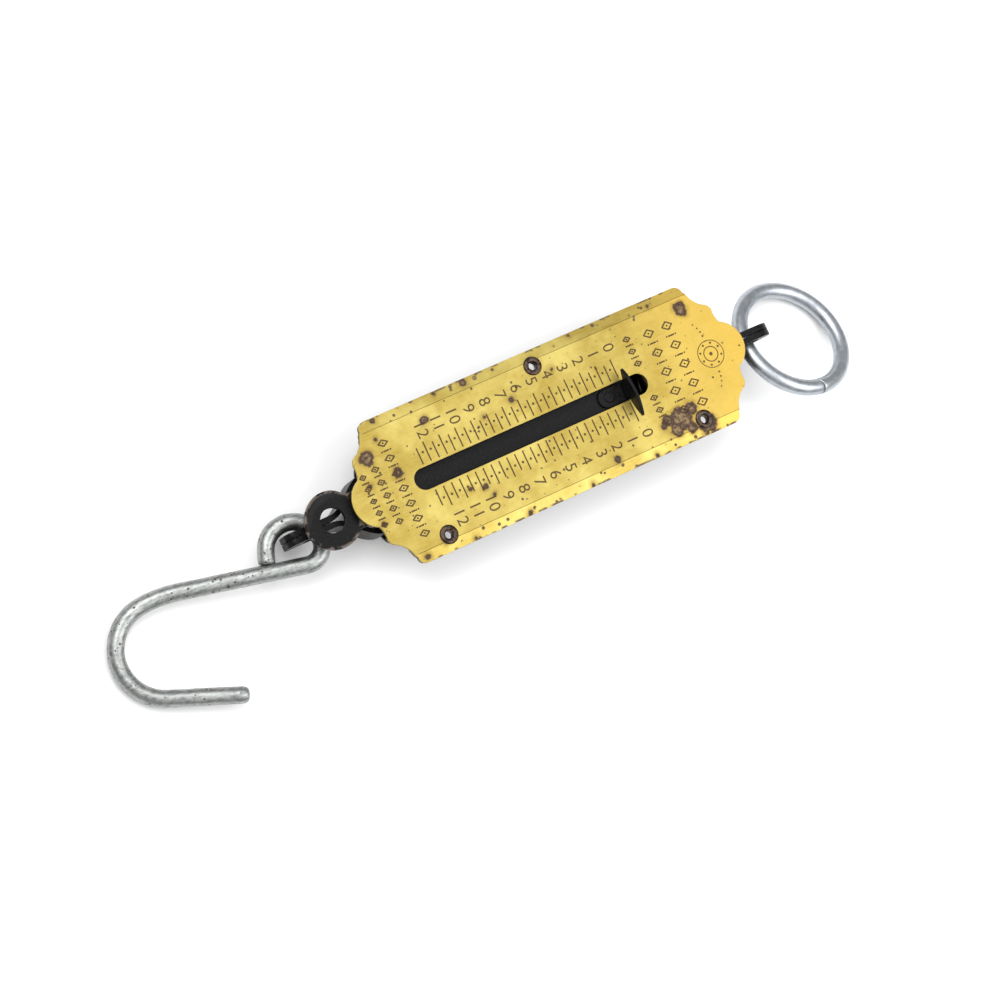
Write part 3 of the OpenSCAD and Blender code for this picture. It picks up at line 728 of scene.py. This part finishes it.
# %% Creases
def crease(piece, point, direction, lift):
    """Cuts the piece along an upright plane through point, and tips what lies beyond it."""
    deselect()
    piece.select_set(True)
    bpy.context.view_layer.objects.active = piece
    along = Vector((math.cos(direction), math.sin(direction), 0))
    bpy.ops.object.mode_set(mode="EDIT")
    bpy.ops.mesh.select_all(action="SELECT")
    bpy.ops.mesh.bisect(plane_co=point, plane_no=along)
    bpy.ops.object.mode_set(mode="OBJECT")
    for v in piece.data.vertices:
        beyond = (v.co - point).dot(along)
        if beyond > 0.0:
            v.co.z += beyond * lift
    piece.data.update()


strip_lo, strip_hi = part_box("pointer_strip")
eye_r = 6.75 * MM
eye_middle = Vector((strip_lo.x + eye_r, 0, strip_hi.z))


def pointer_strip():
    piece = clean_copy("look_pointer_strip", "pointer_strip")
    for away, direction, lift in ((3.9, 103, 0.3), (4.4, 138, 0.36), (5.5, -104, 0.12)):
        angle = math.radians(direction)
        point = eye_middle + Vector((math.cos(angle), math.sin(angle), 0)) * away * MM
        crease(piece, point, angle, lift)
    soften(piece, 0.2, 2, 25)
    smooth(piece, 20, weighted=True)
    return finish_piece(piece, "dull_lacquer_painted_rim", "draw", "black_lacquer", "pointer_strip")


pointer_strip()
sheet_part("pointer", "black_lacquer", "draw", "black_lacquer", 0.22)

# %% [markdown]
# ## Wire parts
# The hook and the ring are one bent wire each. A wire starts as a disc, and the disc is pushed
# along: extruded for a straight length, spun for a bend. That is how a wire bender works too.

# %% Wire bender
def start_wire(name, place, heading, up, radius, sides=24):
    """A disc across the wire's first direction, left selected in edit mode."""
    deselect()
    turn = Matrix((up.cross(heading), up, heading)).transposed().to_euler()
    bpy.ops.mesh.primitive_circle_add(vertices=sides, radius=radius, fill_type="NGON",
                                      location=place, rotation=turn)
    wire = bpy.context.object
    wire.name = name
    bpy.ops.object.transform_apply(location=True, rotation=True, scale=True)
    bpy.ops.object.mode_set(mode="EDIT")
    bpy.ops.mesh.select_all(action="SELECT")
    return wire


def round_start(place, heading, radius):
    """Grows the disc that the wire starts with in four short steps, for a rounded end."""
    done, share = 0.0, 0.5
    for next_done, next_share in ((0.10, 0.72), (0.28, 0.87), (0.55, 0.96), (0.90, 1.0)):
        push((next_done - done) * radius, heading)
        bpy.ops.transform.resize(value=(next_share / share,) * 3,
                                 center_override=place + heading * next_done * radius)
        done, share = next_done, next_share
    return done * radius


def push(length, heading, step=0.9 * MM):
    """Extrudes the disc straight on, in short steps."""
    count = max(1, round(length / step))
    for _ in range(count):
        bpy.ops.mesh.extrude_region_move(TRANSFORM_OT_translate={"value": heading * (length / count)})


def bend(angle, centre, axis, step=math.radians(5)):
    """Spins the disc round an axis; the angle's sign follows the right-hand rule."""
    count = max(2, math.ceil(abs(angle) / step))
    bpy.ops.mesh.spin(steps=count, angle=-angle, center=centre, axis=axis)


def end_wire(wire, rim=0.25 * MM):
    """Closes both ends, rounds their rims and turns the faces outwards."""
    bpy.ops.mesh.select_all(action="SELECT")
    bpy.ops.mesh.remove_doubles(threshold=0.002 * MM)
    bpy.ops.mesh.select_all(action="DESELECT")
    bpy.ops.mesh.select_non_manifold()
    bpy.ops.object.mode_set(mode="OBJECT")
    if any(v.select for v in wire.data.vertices):
        bpy.ops.object.mode_set(mode="EDIT")
        bpy.ops.mesh.edge_face_add()
        bpy.ops.object.mode_set(mode="OBJECT")
    bpy.ops.object.mode_set(mode="EDIT")
    bpy.ops.mesh.select_all(action="SELECT")
    bpy.ops.mesh.normals_make_consistent(inside=False)
    bpy.ops.object.mode_set(mode="OBJECT")
    soften(wire, rim / MM, 3, 60)


def roughen(piece, strength, size):
    """Moves the surface in and out a little, so that the wire isn't perfectly round."""
    clouds = bpy.data.textures.new(piece.name + "_clouds", "CLOUDS")
    clouds.noise_scale = size * MM
    apply_modifier(piece, "DISPLACE", texture=clouds, strength=strength * MM, mid_level=1.0,
                   texture_coords="LOCAL")


def print_boxes(piece, node):
    """The piece's box beside its node's box, in mm."""
    for name, corners in ((piece.name, (piece.bound_box[0], piece.bound_box[6])), (node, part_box(node))):
        print(name, [[round(c / MM, 1) for c in corner] for corner in corners])


# %% [markdown]
# The hook's wire is walked from its tip: a big bend, a slow bend, the shank, and the eye round the
# tail. The last straight length is 0.55 mm longer than the engineering model's, so that the wire's
# end rests on the shank.

# %% Load hook
HOOK_WIRE = 4.1 * MM
HOOK_SLOPE = math.radians(5.9)
HOOK_START = math.radians(158.24)
EYE_TURN = 102.46
EYE_PLACE = Vector((0.75, -2.2))  # of the eye's far side from the hole's middle, in mm
HOOK_STEPS = [  # straight length, turn in degrees, radius of the turn, from the tip
    (18.2, -151.2, 11.0), (0.0, -19.5, 26.5), (30.2, EYE_TURN, 4.3), (0.0, 161.0, 6.5), (2.75, 0.0, 0.0)]


def hook_path():
    """Walks the steps in the hook's own plane: a list of (place, heading, length, turn, radius)."""
    place, heading, walk, eye = Vector((0, 0)), HOOK_START, [], None
    for length, turn, radius in HOOK_STEPS:
        walk.append((place.copy(), heading, length, math.radians(turn), radius))
        place += length * Vector((math.cos(heading), math.sin(heading)))
        if turn:
            side = math.copysign(radius, turn)
            middle = place + side * Vector((-math.sin(heading), math.cos(heading)))
            heading += math.radians(turn)
            place = middle - side * Vector((-math.sin(heading), math.cos(heading)))
        if turn == EYE_TURN:
            eye = place.copy()
    return walk, EYE_PLACE - eye


def load_hook():
    walk, shift = hook_path()
    plane_x = Vector((math.cos(HOOK_SLOPE), 0, math.sin(HOOK_SLOPE)))
    plane_y = Vector((0, 1, 0))
    normal = plane_x.cross(plane_y)

    def world(point):
        moved = (point + shift) * MM
        return hook_pivot + plane_x * moved.x + plane_y * moved.y

    def direction(heading):
        return plane_x * math.cos(heading) + plane_y * math.sin(heading)

    first = walk[0]
    radius = HOOK_WIRE / 2
    wire = start_wire("look_load_hook", world(first[0]), direction(first[1]), normal, radius * 0.5)
    done = round_start(world(first[0]), direction(first[1]), radius)
    for place, heading, length, turn, bend_radius in walk:
        if length:
            push(length * MM - done, direction(heading))
            done = 0.0
        if turn:
            end = place + length * Vector((math.cos(heading), math.sin(heading)))
            side = math.copysign(bend_radius, turn)
            middle = end + side * Vector((-math.sin(heading), math.cos(heading)))
            bend(turn, world(middle), normal)
    end_wire(wire, 0.8 * MM)
    roughen(wire, 0.10, 2.6)
    smooth(wire, 50)
    return finish_piece(wire, "galvanised", "hook", "galvanised", "load_hook")


hook = load_hook()
print_boxes(hook, "load_hook")

# %% [markdown]
# The ring is one bend of almost a full turn. Its two ends meet in a slanted butt joint, so a thin
# dark line crosses the wire at the place where it was closed.

# %% Suspension ring
RING_PITCH = math.radians(16.8)
RING_ROLL = math.radians(-14.5)
BUTT = math.radians(-99)


def suspension_ring():
    lo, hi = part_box("suspension_ring")
    middle = (lo + hi) / 2
    wire_r = 1.95 * MM
    ring_r = 13.9 * MM
    turn = Matrix.Rotation(RING_PITCH, 3, "Y") @ Matrix.Rotation(RING_ROLL, 3, "X")
    normal = turn @ Vector((0, 0, 1))
    out = turn @ Vector((math.cos(BUTT), math.sin(BUTT), 0))
    wire = start_wire("look_suspension_ring", middle + out * ring_r, normal.cross(out), normal, wire_r, 28)
    bend(math.radians(359.0), middle, normal, math.radians(3))
    end_wire(wire, 0.22 * MM)
    slant = 0.35
    for v in wire.data.vertices:
        way = v.co - middle
        along = way.dot(normal.cross(out))
        across = (way - out * way.dot(out)).dot(normal)
        if way.dot(out) > 0 and abs(along) < 3 * MM:
            fade = 1 - abs(along) / (3 * MM)
            v.co += normal.cross(out) * slant * (across + way.dot(out) - ring_r) * fade
    wire.data.update()
    roughen(wire, 0.02, 6.0)
    smooth(wire, 50)
    return finish_piece(wire, "bright_zinc", "ring", "bright_zinc", "suspension_ring")


ring = suspension_ring()
print_boxes(ring, "suspension_ring")

# %% [markdown]
# ## Spring
# The spring sits inside the case and shows only through the slot and the open ends. It is drawn as a curve
# with a round section and made a mesh; the real one is squeezed towards its hook-side seat when the draw
# frame is pulled. One turn at each end is closed.

# %% Main spring
def main_spring():
    lo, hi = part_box("main_spring")
    middle = (lo + hi) / 2
    wire_r = 0.69 * MM
    coil_r = (hi.y - lo.y) / 2 - wire_r
    start, length = lo.x + wire_r, hi.x - lo.x - 2 * wire_r
    turns, per_turn = 21, 28
    closed = 2 * wire_r
    open_pitch = (length - 2 * closed) / (turns - 2)
    deselect()
    curve = bpy.data.curves.new("spring_line", "CURVE")
    curve.dimensions = "3D"
    curve.bevel_depth = wire_r
    curve.bevel_resolution = 3
    curve.use_fill_caps = True
    line = curve.splines.new("POLY")
    line.points.add(turns * per_turn)
    for i, point in enumerate(line.points):
        t = i / per_turn
        x = closed * min(t, 1) + open_pitch * min(max(t - 1, 0), turns - 2) + closed * max(t - turns + 1, 0)
        a = 2 * math.pi * t
        point.co = (start + x, middle.y + coil_r * math.cos(a), middle.z + coil_r * math.sin(a), 1)
    piece = bpy.data.objects.new("look_main_spring", curve)
    bpy.context.scene.collection.objects.link(piece)
    piece.select_set(True)
    bpy.context.view_layer.objects.active = piece
    bpy.ops.object.convert(target="MESH")
    piece = bpy.context.object
    smooth(piece, 50)
    finish_piece(piece, "spring_steel", "case", "spring_steel", "main_spring")
    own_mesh(piece)
    return piece


main_spring()
